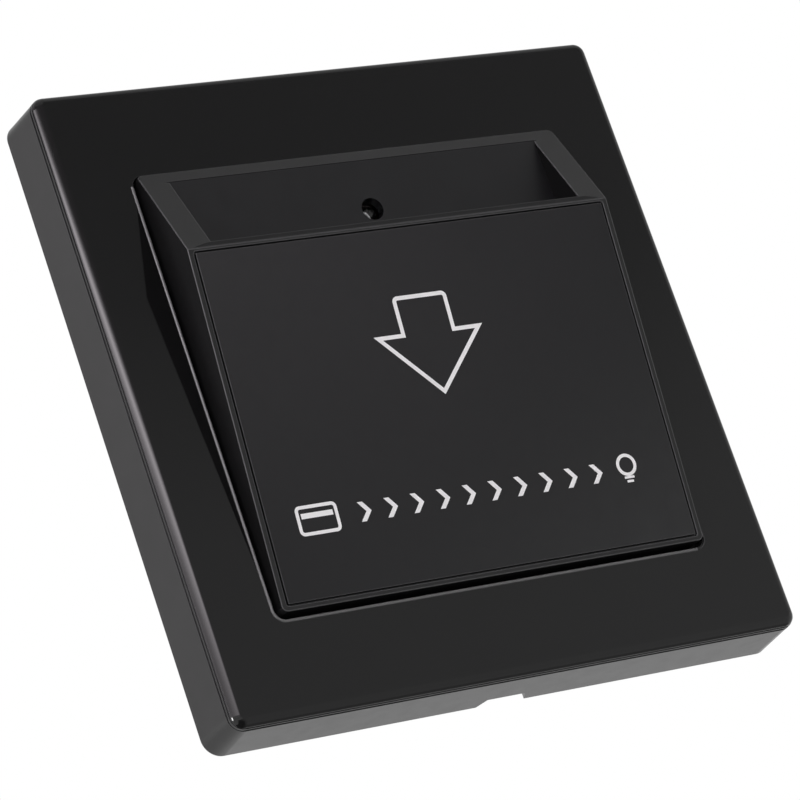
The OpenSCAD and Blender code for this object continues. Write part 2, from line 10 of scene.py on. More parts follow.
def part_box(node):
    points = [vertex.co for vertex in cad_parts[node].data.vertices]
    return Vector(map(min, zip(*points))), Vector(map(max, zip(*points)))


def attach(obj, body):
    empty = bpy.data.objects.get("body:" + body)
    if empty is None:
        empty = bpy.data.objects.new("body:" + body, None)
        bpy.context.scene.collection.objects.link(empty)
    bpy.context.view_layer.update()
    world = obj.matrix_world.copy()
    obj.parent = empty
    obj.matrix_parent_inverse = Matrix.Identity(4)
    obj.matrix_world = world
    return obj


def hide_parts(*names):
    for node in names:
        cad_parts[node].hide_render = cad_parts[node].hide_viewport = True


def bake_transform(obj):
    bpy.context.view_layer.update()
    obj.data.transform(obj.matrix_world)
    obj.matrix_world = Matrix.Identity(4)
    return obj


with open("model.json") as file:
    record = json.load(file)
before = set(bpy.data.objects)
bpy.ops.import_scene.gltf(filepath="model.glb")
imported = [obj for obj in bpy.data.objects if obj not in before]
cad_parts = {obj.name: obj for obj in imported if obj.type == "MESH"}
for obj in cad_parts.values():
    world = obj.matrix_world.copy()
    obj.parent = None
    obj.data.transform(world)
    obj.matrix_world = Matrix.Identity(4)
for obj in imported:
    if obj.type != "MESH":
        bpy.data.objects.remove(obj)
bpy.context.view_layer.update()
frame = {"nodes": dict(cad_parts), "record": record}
nodes = frame["nodes"]
scene = bpy.context.scene
MM = 0.001
WHITE = (1, 1, 1, 1)

# The camera, found from the plate's and the wedge's edges.
IMAGE_PX = 800
FOCAL_PX = 4288
SENSOR_MM = 36
CAMERA_AZIMUTH = -31.77
CAMERA_ELEVATION = -17.80
CAMERA_ROLL = -19.12
CAMERA_DISTANCE = 565.76 * MM
CAMERA_TARGET = Vector((0.76, 0, -1.22)) * MM

# The plate's face, and the wedge's lowest and highest edges, in millimetres up the wall and out of it.
FACE_OUT = 9.1
FOOT_UP = -30.7
FOOT_OUT = 10.25
APEX_UP = 17.0
APEX_OUT = 16.2
FRONT_TILT = math.atan((APEX_OUT - FOOT_OUT) / (APEX_UP - FOOT_UP))

# The studio, in metres and degrees: a floor, a dim ceiling, a dim trough that runs from the front under the
# object to the back, and a bright band at the left that climbs from the front to the back.
FLOOR_LEVEL = -0.6
FLOOR_HALF = 6.0
FLOOR_WHITE = 0.85
FLOOR_TONES = (0.83, 0.87)
FLOOR_FLECKS = 300.0
FLOOR_ROUGHNESS = 0.9
CARD_STEPS = 48
CEILING_LEVEL = 1.2
CEILING_REACH = 6.0
TROUGH_RADIUS = 0.55
TROUGH_START = 50
TROUGH_END = -128
TROUGH_INNER = 0.11
TROUGH_LOW_INNER = -0.45
TROUGH_OUTER = 0.63
BAND_RADIUS = 1.0
BAND_START = -25
BAND_END = 140
BAND_LOW = 0.245
BAND_CLIMB = 0.00125
BAND_ABOVE = 0.35
BAND_BELOW = 0.25
PINKISH = (1.0, 0.94, 0.985, 1)

# How light the ceiling is, and where along it the middle gives way to the rim.
CEILING_MIDDLE = 0.6
CEILING_RIM = 0.7
CEILING_FADE = (0.3, 0.5)

# How light the trough is from its start to its end, and where along it each change begins and ends.
TROUGH_WIDENS = (0.3, 0.5)
TROUGH_HIGH = 0.3
TROUGH_FRONT = 0.55
TROUGH_FRONT_FADE = (0.13, 0.2)
TROUGH_LIFT = 0.1
TROUGH_LIFT_FADE = (0.2, 0.3)
TROUGH_BACK = 0.3
TROUGH_BACK_FADE = (0.65, 0.85)
TROUGH_DARK = 0.45
TROUGH_LOW_DARK = 0.12
TROUGH_DARK_FADE = (0.36, 0.5)

# How the trough's light changes across it: more to the right, by so much a metre, and dark at the left.
TROUGH_SLOPE = 0.35
TROUGH_EVEN_AT = 0.3
TROUGH_LEFT_FADE = (0.0, 0.2)

# How light the band is, where round the object its ends fade, and how soft it is above and below its ridge.
BAND_PEAK = 9.0
BAND_DIM = 0.35
BAND_WHITE = 1.0
BAND_START_FADE = (-22, 12)
BAND_END_FADE = (115, 138)
BAND_MIDDLE = 65
BAND_HALF = 100
BAND_SOFT_ABOVE = 0.047
BAND_SOFT_BELOW = 0.06

# The two lamps: place, width in metres, and power in watts.
KEY_LIGHT = ((-0.75, -0.85, 0.35), 0.5, 3.0)
GLINT_LIGHT = ((-0.7, 0.19, -0.06), 0.14, 2.0)

# Angles in degrees: what counts as a sharp edge, as one flat, and as an edge to round.
SHARP_ANGLE = 35
FLAT_ANGLE = 0.1
ROUND_ANGLE = 30

# Corners closer than this, in millimetres, are one corner.
WELD_GAP = 0.0005


def add(tree, kind, settings=None, inputs=None):
    """Adds a shader node, sets its options, and links or sets its inputs."""
    node = tree.nodes.new(kind)
    for name, value in (settings or {}).items():
        setattr(node, name, value)
    for name, value in (inputs or {}).items():
        socket = node.inputs[name]
        if isinstance(value, bpy.types.NodeSocket):
            tree.links.new(value, socket)
        else:
            socket.default_value = value
    return node


def mix(first, second, share):
    """A value between two others, by a share from 0 to 1."""
    return first + (second - first) * share


def ease(value, start, end):
    """A smooth step from nought at one value to one at another."""
    share = min(max((value - start) / (end - start), 0.0), 1.0)
    return share * share * (3 - 2 * share)


def make_camera():
    """The photographed view: from the lower left, with the picture turned a little."""
    azimuth, elevation, roll = map(math.radians, (CAMERA_AZIMUTH, CAMERA_ELEVATION, CAMERA_ROLL))
    back = Vector((
        math.sin(azimuth) * math.cos(elevation),
        -math.cos(azimuth) * math.cos(elevation),
        math.sin(elevation),
    ))
    level = Vector((0, 0, 1)).cross(back).normalized()
    upright = back.cross(level)
    right = level * math.cos(roll) + upright * math.sin(roll)
    up = upright * math.cos(roll) - level * math.sin(roll)
    lens = bpy.data.cameras.new("camera")
    lens.sensor_width = SENSOR_MM
    lens.lens = SENSOR_MM * FOCAL_PX / IMAGE_PX
    lens.clip_start = 0.01
    camera = bpy.data.objects.new("camera", lens)
    axes = Matrix((right, up, back)).transposed().to_4x4()
    camera.matrix_world = Matrix.Translation(CAMERA_TARGET + back * CAMERA_DISTANCE) @ axes
    scene.collection.objects.link(camera)
    scene.camera = camera


def make_world():
    """A plain white room."""
    world = bpy.data.worlds.new("studio")
    scene.world = world
    world.use_nodes = True
    tree = world.node_tree
    tree.nodes.clear()
    room = add(tree, "ShaderNodeBackground", None, {"Color": WHITE, "Strength": 1.0})
    add(tree, "ShaderNodeOutputWorld", None, {"Surface": room.outputs[0]})


def make_lamp(name, place, size, watts, mirrored):
    """A square soft light that faces the object; the gloss may show it or not."""
    light = bpy.data.lights.new(name, "AREA")
    light.size = size
    light.energy = watts
    lamp = bpy.data.objects.new(name, light)
    lamp.location = place
    lamp.rotation_mode = "QUATERNION"
    lamp.rotation_quaternion = (-Vector(place)).to_track_quat("-Z", "Y")
    lamp.visible_camera = False
    lamp.visible_glossy = mirrored
    scene.collection.objects.link(lamp)


def new_mesh_object(name, build):
    """Makes a mesh object whose geometry the given function puts into a bmesh."""
    shape = bmesh.new()
    build(shape)
    bmesh.ops.recalc_face_normals(shape, faces=shape.faces)
    mesh = bpy.data.meshes.new(name)
    shape.to_mesh(mesh)
    shape.free()
    mesh.shade_smooth()
    mesh.set_sharp_from_angle(angle=math.radians(SHARP_ANGLE))
    piece = bpy.data.objects.new(name, mesh)
    scene.collection.objects.link(piece)
    return piece


def make_card(name, place, level, colour):
    """A curved sheet of plain light that only reflections show, with its own level at each place."""
    def build(shape):
        steps = [i / CARD_STEPS for i in range(CARD_STEPS + 1)]
        glow = shape.verts.layers.float.new("glow")
        grid = [[shape.verts.new(place(along, across)) for across in steps] for along in steps]
        for row, along in zip(grid, steps):
            for vert, across in zip(row, steps):
                vert[glow] = level(along, across)
        for i in range(CARD_STEPS):
            for j in range(CARD_STEPS):
                shape.faces.new((grid[i][j], grid[i + 1][j], grid[i + 1][j + 1], grid[i][j + 1]))
    card = new_mesh_object(name, build)
    card.visible_camera = False
    material = bpy.data.materials.new(name)
    material.use_nodes = True
    tree = material.node_tree
    tree.nodes.clear()
    glow = add(tree, "ShaderNodeAttribute", {"attribute_name": "glow"}).outputs["Fac"]
    light = add(tree, "ShaderNodeEmission", None, {"Color": colour, "Strength": glow})
    add(tree, "ShaderNodeOutputMaterial", None, {"Surface": light.outputs[0]})
    card.data.materials.append(material)


def ceiling_place(along, across):
    """A round ceiling, from its middle outwards."""
    angle = math.tau * across
    reach = CEILING_REACH * max(along, 0.001)
    return Vector((reach * math.cos(angle), reach * math.sin(angle), CEILING_LEVEL))


def ceiling_level(along, across):
    """Slightly lighter towards its rim."""
    return mix(CEILING_MIDDLE, CEILING_RIM, ease(along, *CEILING_FADE))


def trough_side(along, across):
    """How far right a place on the trough lies; the inner edge goes to the left below the object."""
    inner = mix(TROUGH_INNER, TROUGH_LOW_INNER, ease(along, *TROUGH_WIDENS))
    return mix(inner, TROUGH_OUTER, across)


def trough_place(along, across):
    """A place on the trough, which bends round the object from the front, under it, to the back."""
    angle = math.radians(mix(TROUGH_START, TROUGH_END, along))
    out, up = TROUGH_RADIUS * math.cos(angle), TROUGH_RADIUS * math.sin(angle)
    return Vector((trough_side(along, across), -out, up))


def trough_level(along, across):
    """Dim above the front, lighter below it, dim at the back, and dark towards the left."""
    side = trough_side(along, across)
    front = mix(TROUGH_HIGH, TROUGH_FRONT, ease(along, *TROUGH_FRONT_FADE))
    lift = TROUGH_LIFT * ease(along, *TROUGH_LIFT_FADE)
    level = front + lift + TROUGH_SLOPE * (side - TROUGH_EVEN_AT)
    level = mix(level, TROUGH_BACK, ease(along, *TROUGH_BACK_FADE))
    dark = mix(TROUGH_DARK, TROUGH_LOW_DARK, ease(along, *TROUGH_DARK_FADE))
    return mix(dark, level, ease(side, *TROUGH_LEFT_FADE))


def band_place(along, across):
    """A place on the band, which goes round the object at the left and climbs towards the back."""
    azimuth = mix(BAND_START, BAND_END, across)
    climb = BAND_LOW + BAND_CLIMB * max(azimuth, 0) + mix(BAND_ABOVE, -BAND_BELOW, along)
    flat = math.sqrt(1 - climb * climb)
    turn = math.radians(azimuth)
    return BAND_RADIUS * Vector((-flat * math.sin(turn), -flat * math.cos(turn), climb))


def band_level(along, across):
    """Brightest along its ridge; soft and dim above it, and slowly fading to white below it."""
    azimuth = mix(BAND_START, BAND_END, across)
    rise = mix(BAND_ABOVE, -BAND_BELOW, along)
    start = ease(azimuth, *BAND_START_FADE)
    end = ease(azimuth, *BAND_END_FADE)
    above = mix(BAND_DIM, BAND_WHITE, end)
    ridge = BAND_PEAK * (1 - ((azimuth - BAND_MIDDLE) / BAND_HALF) ** 2) * start * (1 - end)
    peak = max(ridge, above)
    if rise > 0:
        return mix(above, peak, math.exp(-((rise / BAND_SOFT_ABOVE) ** 2)))
    below = mix(BAND_DIM, BAND_WHITE, start)
    return mix(below, peak, math.exp(rise / BAND_SOFT_BELOW))


def make_floor():
    """A plain pale floor that shows white to the eye and to the gloss."""
    def build(shape):
        bmesh.ops.create_grid(shape, x_segments=4, y_segments=4, size=FLOOR_HALF)
    floor = new_mesh_object("floor", build)
    floor.location.z = FLOOR_LEVEL
    material = bpy.data.materials.new("floor_paper")
    material.use_nodes = True
    tree = material.node_tree
    paper = tree.nodes["Principled BSDF"]
    place = add(tree, "ShaderNodeTexCoord").outputs["Object"]
    fleck = add(tree, "ShaderNodeTexNoise", None, {"Vector": place, "Scale": FLOOR_FLECKS})
    tone = add(tree, "ShaderNodeMapRange", None, {
        "Value": fleck.outputs["Fac"], "To Min": FLOOR_TONES[0], "To Max": FLOOR_TONES[1],
    })
    tree.links.new(tone.outputs["Result"], paper.inputs["Base Color"])
    paper.inputs["Roughness"].default_value = FLOOR_ROUGHNESS
    path = add(tree, "ShaderNodeLightPath").outputs
    seen = add(tree, "ShaderNodeMath", {"operation": "ADD"}, {
        0: path["Is Camera Ray"], 1: path["Is Glossy Ray"],
    }).outputs[0]
    seen = add(tree, "ShaderNodeMath", {"operation": "ADD", "use_clamp": True}, {
        0: seen, 1: path["Is Transmission Ray"],
    }).outputs[0]
    white = add(tree, "ShaderNodeEmission", None, {"Color": WHITE, "Strength": 1.0})
    share = add(tree, "ShaderNodeMath", {"operation": "MULTIPLY"}, {0: seen, 1: FLOOR_WHITE})
    surface = add(tree, "ShaderNodeMixShader", None, {
        0: share.outputs[0], 1: paper.outputs[0], 2: white.outputs[0],
    })
    tree.links.new(surface.outputs[0], tree.nodes["Material Output"].inputs["Surface"])
    floor.data.materials.append(material)


# Most of the noise lies between these values.
NOISE_LOW = 0.3
NOISE_HIGH = 0.7


def noise(tree, place, size, detail=2.0):
    """Even noise whose features are about the given size in millimetres."""
    node = add(tree, "ShaderNodeTexNoise", None, {
        "Vector": place, "Scale": 1 / (size * MM), "Detail": detail,
    })
    return node.outputs["Fac"]


def spread(tree, value, low, high):
    """Turns noise into a range of values."""
    node = add(tree, "ShaderNodeMapRange", None, {
        "Value": value, "From Min": NOISE_LOW, "From Max": NOISE_HIGH, "To Min": low, "To Max": high,
    })
    return node.outputs["Result"]


def blend(tree, share, first, second):
    """Mixes two colours by a share from 0 to 1."""
    node = add(tree, "ShaderNodeMix", {"data_type": "RGBA"})
    for socket, value in ((node.inputs[0], share), (node.inputs[6], first), (node.inputs[7], second)):
        if isinstance(value, bpy.types.NodeSocket):
            tree.links.new(value, socket)
        else:
            socket.default_value = value
    return node.outputs[2]


# How strongly plastic and resin bend and mirror light.
PLASTIC_IOR = 1.45
PLASTIC_SHINE = 0.5
RESIN_IOR = 1.52

# How far a face has turned, as a cosine, where the lighter edge begins and where it is full: wear, and on the
# black plastics a painted highlight.
WEAR_AND_SHEEN_BEGINS = 0.98
WEAR_AND_SHEEN_FULL = 0.75

# How squarely a face looks sideways, up or down before it counts as a wall.
WALL_BEGINS = 0.9
WALL_FULL = 0.97

# Sizes in millimetres of what the eye sees as flow, patches, drawn lines, and the broken lighter edges of
# wear and painted highlight.
FLOW_SIZE = 9.0
PATCH_SIZE = 2.2
METAL_LINE_SIZE = 1.2
METAL_PATCH_SIZE = 2.5
WEAR_AND_SHEEN_SIZE = 1.5
CLOUD_SIZE = 0.8
PLASTIC_WEAR_AND_SHEEN_WIDTH = 0.3
METAL_WEAR_WIDTH = 0.15

# How much roughness changes from place to place, as a share of it, and how deep fine marks are, in mm.
PLASTIC_GLOSS_CHANGE = 0.12
METAL_GLOSS_CHANGE = 0.25
METAL_LINE_DEPTH = 0.004
RIPPLE_DEPTH = 0.01


# This share lightens plastic and metal edges: wear, and on the black plastics a painted highlight.
def edge_wear_and_sheen(tree, place, width, least):
    """A share that rises along the edges, broken up by noise."""
    soft = add(tree, "ShaderNodeBevel", {"samples": 4}, {"Radius": width * MM})
    flat = add(tree, "ShaderNodeNewGeometry").outputs["Normal"]
    turned_by = add(tree, "ShaderNodeVectorMath", {"operation": "DOT_PRODUCT"}, {0: soft.outputs[0], 1: flat})
    edge = add(tree, "ShaderNodeMapRange", None, {
        "Value": turned_by.outputs["Value"],
        "From Min": WEAR_AND_SHEEN_BEGINS, "From Max": WEAR_AND_SHEEN_FULL, "To Min": 0.0, "To Max": 1.0,
    })
    broken = spread(tree, noise(tree, place, WEAR_AND_SHEEN_SIZE, 4.0), least, 1.0)
    worn_and_sheen = add(tree, "ShaderNodeMath", {"operation": "MULTIPLY"}, {0: edge.outputs["Result"], 1: broken})
    return worn_and_sheen.outputs[0]


def shade(colour, factor):
    """A colour made lighter or darker."""
    return tuple(min(1.0, c * factor) for c in colour[:3]) + (1.0,)


def wall_share(tree):
    """One on faces that look sideways, up or down, and nought on faces that look forwards."""
    normal = add(tree, "ShaderNodeTexCoord").outputs["Normal"]
    size = add(tree, "ShaderNodeVectorMath", {"operation": "ABSOLUTE"}, {0: normal})
    parts = add(tree, "ShaderNodeSeparateXYZ", None, {0: size.outputs[0]}).outputs
    most = add(tree, "ShaderNodeMath", {"operation": "MAXIMUM"}, {0: parts["X"], 1: parts["Z"]})
    share = add(tree, "ShaderNodeMapRange", None, {
        "Value": most.outputs[0],
        "From Min": WALL_BEGINS, "From Max": WALL_FULL, "To Min": 0.0, "To Max": 1.0,
    })
    return share.outputs["Result"]


def vary(tree, value, amount, change):
    """Spreads noise round an amount, by a share of it to each side."""
    return spread(tree, value, amount * (1 - change), amount * (1 + change))


def plastic(name, colour, roughness, grain_size, grain_depth, variation=0.12, wear_and_sheen=1.35,
        wall_roughness=None, wall_shine=None):
    """Moulded plastic: a fine grain, slight colour and gloss changes, and lighter edges, which are wear and,
    where the factor is strong, a painted highlight.

    Its walls may have another roughness and less shine than its front."""
    material = bpy.data.materials.new(name)
    material.use_nodes = True
    tree = material.node_tree
    skin = tree.nodes["Principled BSDF"]
    skin.inputs["IOR"].default_value = PLASTIC_IOR
    place = add(tree, "ShaderNodeTexCoord").outputs["Object"]
    flow = noise(tree, place, FLOW_SIZE, 3.0)
    tone = blend(tree, flow, shade(colour, 1 - variation), shade(colour, 1 + variation))
    worn_and_sheen = edge_wear_and_sheen(tree, place, PLASTIC_WEAR_AND_SHEEN_WIDTH, 0.5)
    tree.links.new(blend(tree, worn_and_sheen, tone, shade(colour, wear_and_sheen)), skin.inputs["Base Color"])
    patches = noise(tree, place, PATCH_SIZE, 4.0)
    gloss = vary(tree, patches, roughness, PLASTIC_GLOSS_CHANGE)
    if wall_roughness:
        wall_gloss = vary(tree, patches, wall_roughness, PLASTIC_GLOSS_CHANGE)
        gloss = add(tree, "ShaderNodeMix", None, {0: wall_share(tree), 2: gloss, 3: wall_gloss}).outputs[0]
    if wall_shine:
        shine = add(tree, "ShaderNodeMix", None, {0: wall_share(tree), 2: PLASTIC_SHINE, 3: wall_shine})
        tree.links.new(shine.outputs[0], skin.inputs["Specular IOR Level"])
    tree.links.new(gloss, skin.inputs["Roughness"])
    grain = noise(tree, place, grain_size, 3.0)
    bump = add(tree, "ShaderNodeBump", None, {"Height": grain, "Strength": 1.0, "Distance": grain_depth * MM})
    tree.links.new(bump.outputs[0], skin.inputs["Normal"])
    return material


def metal(name, colour, roughness, stretch=(1, 1, 12), wear_and_sheen=1.2):
    """Drawn or machined metal: fine lines along one way, duller patches, and bright edges."""
    material = bpy.data.materials.new(name)
    material.use_nodes = True
    tree = material.node_tree
    skin = tree.nodes["Principled BSDF"]
    skin.inputs["Metallic"].default_value = 1.0
    place = add(tree, "ShaderNodeTexCoord").outputs["Object"]
    drawn = add(tree, "ShaderNodeMapping", None, {"Vector": place, "Scale": stretch}).outputs[0]
    lines = noise(tree, drawn, METAL_LINE_SIZE, 4.0)
    patch = noise(tree, place, METAL_PATCH_SIZE, 3.0)
    tone = blend(tree, patch, shade(colour, 0.85), shade(colour, 1.05))
    worn_and_sheen = edge_wear_and_sheen(tree, place, METAL_WEAR_WIDTH, 0.2)
    tree.links.new(blend(tree, worn_and_sheen, tone, shade(colour, wear_and_sheen)), skin.inputs["Base Color"])
    tree.links.new(vary(tree, lines, roughness, METAL_GLOSS_CHANGE), skin.inputs["Roughness"])
    bump = add(tree, "ShaderNodeBump", None, {
        "Height": lines, "Strength": 0.6, "Distance": METAL_LINE_DEPTH * MM,
    })
    tree.links.new(bump.outputs[0], skin.inputs["Normal"])
    return material


def clear_resin(name, colour):
    """Clear cast resin with faint ripples."""
    material = bpy.data.materials.new(name)
    material.use_nodes = True
    tree = material.node_tree
    skin = tree.nodes["Principled BSDF"]
    skin.inputs["Transmission Weight"].default_value = 1.0
    skin.inputs["IOR"].default_value = RESIN_IOR
    place = add(tree, "ShaderNodeTexCoord").outputs["Object"]
    cloud = noise(tree, place, CLOUD_SIZE, 2.0)
    tree.links.new(blend(tree, cloud, shade(colour, 0.95), shade(colour, 1.0)), skin.inputs["Base Color"])
    tree.links.new(spread(tree, cloud, 0.02, 0.06), skin.inputs["Roughness"])
    bump = add(tree, "ShaderNodeBump", None, {
        "Height": cloud, "Strength": 0.4, "Distance": RIPPLE_DEPTH * MM,
    })
    tree.links.new(bump.outputs[0], skin.inputs["Normal"])
    return material


def make_materials():
    """One material for each slot of the record."""
    black = (0.0045, 0.0045, 0.0047)
    charcoal = (0.0052, 0.0052, 0.0062)
    return {
        # Edge factors of 6 and 3 on the black plastics make their edges lighter as a painted highlight as
        # well as wear; the other factors are plain wear.
        "frame_gloss": plastic("frame_gloss", black, 0.07, 0.3, 0.0006, wear_and_sheen=6.0, wall_roughness=0.24),
        "holder_satin": plastic("holder_satin", (0.0075, 0.0075, 0.0079), 0.34, 0.16, 0.003, wear_and_sheen=3.0,
            wall_roughness=0.5, wall_shine=0.08),
        "panel_matt": plastic("panel_matt", charcoal, 0.46, 0.14, 0.005, wear_and_sheen=3.0),
        "pocket_matt": plastic("pocket_matt", charcoal, 0.42, 0.16, 0.004, wear_and_sheen=3.0, wall_roughness=0.2),
        "mount_plastic": plastic("mount_plastic", (0.045, 0.045, 0.05), 0.55, 0.2, 0.008),
        "clip_steel": metal("clip_steel", (0.55, 0.56, 0.58), 0.3),
        "housing_plastic": plastic("housing_plastic", (0.62, 0.62, 0.58), 0.5, 0.25, 0.01, 0.04, 1.1),
        "screw_steel": metal("screw_steel", (0.6, 0.6, 0.6), 0.28, (6, 1, 6)),
        "lever_plastic": plastic("lever_plastic", (0.72, 0.70, 0.65), 0.38, 0.3, 0.006, 0.04, 1.08),
        "spring_bronze": metal("spring_bronze", (0.60, 0.38, 0.12), 0.3, (10, 1, 1)),
        "pivot_steel": metal("pivot_steel", (0.60, 0.62, 0.65), 0.2, (1, 10, 10)),
        "switch_plastic": plastic("switch_plastic", (0.02, 0.02, 0.022), 0.5, 0.2, 0.008),
        "plunger_plastic": plastic("plunger_plastic", (0.45, 0.04, 0.03), 0.4, 0.2, 0.005, 0.08),
        "pin_brass": metal("pin_brass", (0.68, 0.54, 0.20), 0.3),
        "board_laminate": plastic("board_laminate", (0.02, 0.16, 0.06), 0.35, 0.3, 0.006, 0.15),
        "led_resin": clear_resin("led_resin", (0.92, 0.95, 0.92)),
        "spacer_nylon": plastic("spacer_nylon", (0.012, 0.012, 0.013), 0.5, 0.25, 0.008),
        "lead_tin": metal("lead_tin", (0.65, 0.66, 0.68), 0.3),
        "relay_case": plastic("relay_case", (0.03, 0.09, 0.30), 0.4, 0.25, 0.006, 0.1),
        "film_case": plastic("film_case", (0.70, 0.48, 0.06), 0.4, 0.3, 0.006, 0.06, 1.12),
        "can_sleeve": plastic("can_sleeve", (0.02, 0.04, 0.08), 0.25, 0.4, 0.004, 0.1),
        "resistor_lacquer": plastic("resistor_lacquer", (0.55, 0.42, 0.22), 0.35, 0.3, 0.006, 0.08),
        "block_plastic": plastic("block_plastic", (0.75, 0.73, 0.68), 0.42, 0.25, 0.008, 0.04, 1.08),
        "clamp_brass": metal("clamp_brass", (0.60, 0.42, 0.12), 0.3, (1, 8, 1)),
        "mark_ink": plastic("mark_ink", (0.93, 0.93, 0.93), 0.6, 0.12, 0.004, 0.06, 1.0),
    }


def dress_nodes():
    """Gives each solid its slot's material."""
    for subpart in frame["record"]["subparts"]:
        piece = nodes[subpart["node"]]
        piece.data.materials.clear()
        piece.data.materials.append(materials[subpart["material_slot"]])


def round_edges(piece, width, edge=None):
    """Rounds a piece's sharp edges; they may have their own, smoother skin, whose lighter grey is a painted
    highlight.
    """
    weld = piece.modifiers.new("weld", "WELD")
    weld.merge_threshold = WELD_GAP * MM
    flats = piece.modifiers.new("flats", "DECIMATE")
    flats.decimate_type = "DISSOLVE"
    flats.angle_limit = math.radians(FLAT_ANGLE)
    bevel = piece.modifiers.new("bevel", "BEVEL")
    bevel.use_clamp_overlap = False
    bevel.width = width * MM
    bevel.segments = 2
    bevel.limit_method = "ANGLE"
    bevel.angle_limit = math.radians(ROUND_ANGLE)
    bevel.harden_normals = True
    if edge:
        piece.data.materials.append(edge)
        bevel.material = 1


def add_piece(name, build, slot, body):
    """Makes a piece with a slot's material that moves with a body."""
    piece = new_mesh_object(name, build)
    piece.data.materials.append(materials[slot])
    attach(piece, body)
    return piece


def at_wall(x, up, out):
    """A place given as millimetres right, up the wall and out of it."""
    return Vector((x, -out, up)) * MM


def on_panel(x, v, out):
    """A place on the wedge's front: x right, v up its slope from the lower edge, out of it."""
    up = FOOT_UP + v * math.cos(FRONT_TILT) - out * math.sin(FRONT_TILT)
    away = FOOT_OUT + v * math.sin(FRONT_TILT) + out * math.cos(FRONT_TILT)
    return at_wall(x, up, away)


def wall_box(node):
    """A solid's lowest and highest corners as millimetres right, up and out."""
    low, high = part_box(node)
    return Vector((low.x, low.z, -high.y)) / MM, Vector((high.x, high.z, -low.y)) / MM


def circle(x, y, radius, steps=40):
    """A round outline."""
    turns = [math.tau * i / steps for i in range(steps)]
    return [Vector((x + radius * math.cos(turn), y + radius * math.sin(turn))) for turn in turns]


def round_corners(points, radii, steps=5):
    """Replaces the corners of a closed outline by arcs of the given radii."""
    path = []
    for i, (corner, radius) in enumerate(zip(points, radii)):
        corner = Vector(corner)
        if radius == 0:
            path.append(corner)
            continue
        before = (Vector(points[i - 1]) - corner).normalized()
        after = (Vector(points[(i + 1) % len(points)]) - corner).normalized()
        half = before.angle(after) / 2
        reach = radius / math.tan(half)
        middle = corner + (before + after).normalized() * (radius / math.sin(half))
        start = corner + before * reach - middle
        end = corner + after * reach - middle
        for step in range(steps + 1):
            spoke = start.lerp(end, step / steps)
            path.append(middle + spoke.normalized() * radius)
    return path


def box_outline(low, high, radius=0.0, margin=0.0):
    """A rectangle round two corners, with a margin and rounded corners."""
    x0, y0, x1, y1 = low[0] - margin, low[1] - margin, high[0] + margin, high[1] + margin
    return round_corners([(x0, y0), (x1, y0), (x1, y1), (x0, y1)], [radius] * 4)


def offset(path, distance):
    """Moves a closed outline sideways by a distance, keeping its corners."""
    moved = []
    for i, point in enumerate(path):
        first = (point - path[i - 1]).normalized()
        second = (path[(i + 1) % len(path)] - point).normalized()
        normal_a = Vector((first.y, -first.x))
        normal_b = Vector((second.y, -second.x))
        middle = (normal_a + normal_b).normalized()
        moved.append(point + middle * (distance / middle.dot(normal_a)))
    return moved


def ring_of(shape, outline, place, out):
    """Puts an outline into a shape at one height."""
    return [shape.verts.new(place(p.x, p.y, out)) for p in outline]


def loft(shape, rings):
    """Joins rings of vertices, each to the next."""
    for first, second in zip(rings, rings[1:]):
        count = len(first)
        for i in range(count):
            k = (i + 1) % count
            shape.faces.new((first[i], first[k], second[k], second[i]))


def plate(shape, outline, place, low, high):
    """A filled outline from one height to another."""
    rings = [ring_of(shape, outline, place, out) for out in (low, high)]
    loft(shape, rings)
    for ring in rings:
        shape.faces.new(ring)


def hollow(shape, outer, inner, place, low, high):
    """What lies between two outlines, from one height to another."""
    levels = ((outer, low), (outer, high), (inner, high), (inner, low))
    rings = [ring_of(shape, outline, place, out) for outline, out in levels]
    loft(shape, rings + rings[:1])


def turned(shape, profile, place, x, y):
    """A turned shape with closed ends; the profile gives pairs of radius and height."""
    rings = [ring_of(shape, circle(x, y, radius), place, out) for radius, out in profile]
    loft(shape, rings)
    shape.faces.new(rings[0])
    shape.faces.new(rings[-1])


def block(shape, low, high):
    """A box between two corners given as right, up and out."""
    plate(shape, box_outline(low, high), at_wall, low[2], high[2])


# Print lies between these heights above its surface, in millimetres.
INK_LOW = 0.004
INK_HIGH = 0.03


def ink_line(shape, path, place, width, base=0.0):
    """Prints a closed line of the given width along an outline."""
    hollow(shape, offset(path, width / 2), offset(path, -width / 2), place, base + INK_LOW, base + INK_HIGH)


def ink_fill(shape, path, place, base=0.0):
    """Prints a filled outline."""
    plate(shape, path, place, base + INK_LOW, base + INK_HIGH)


# The arrow: its middle, its line's width, and the radius of its two upper corners.
ARROW_X = -0.63
ARROW_LINE = 0.55
ARROW_CORNER_R = 0.5


def draw_arrow(shape):
    """The printed arrow that shows which way the card goes."""
    shaft, head = 3.8, 7.6
    top, shoulder, tip = 38.05, 33.0, 24.95
    half = [(shaft, top), (shaft, shoulder), (head, shoulder), (0, tip)]
    points = [(ARROW_X + x, v) for x, v in half] + [(ARROW_X - x, v) for x, v in reversed(half[:3])]
    path = round_corners(points, [ARROW_CORNER_R, 0, 0, 0, 0, 0, ARROW_CORNER_R])
    ink_line(shape, path, on_panel, ARROW_LINE)


# The row of signs: its height up the panel, its line's width, and where each sign stands.
SIGN_V = 11.0
SIGN_LINE = 0.45
CARD_X = -23.6
CHEVRON_START = -17.6
CHEVRON_STEP = 3.9
CHEVRON_COUNT = 10
BULB_X = 23.2


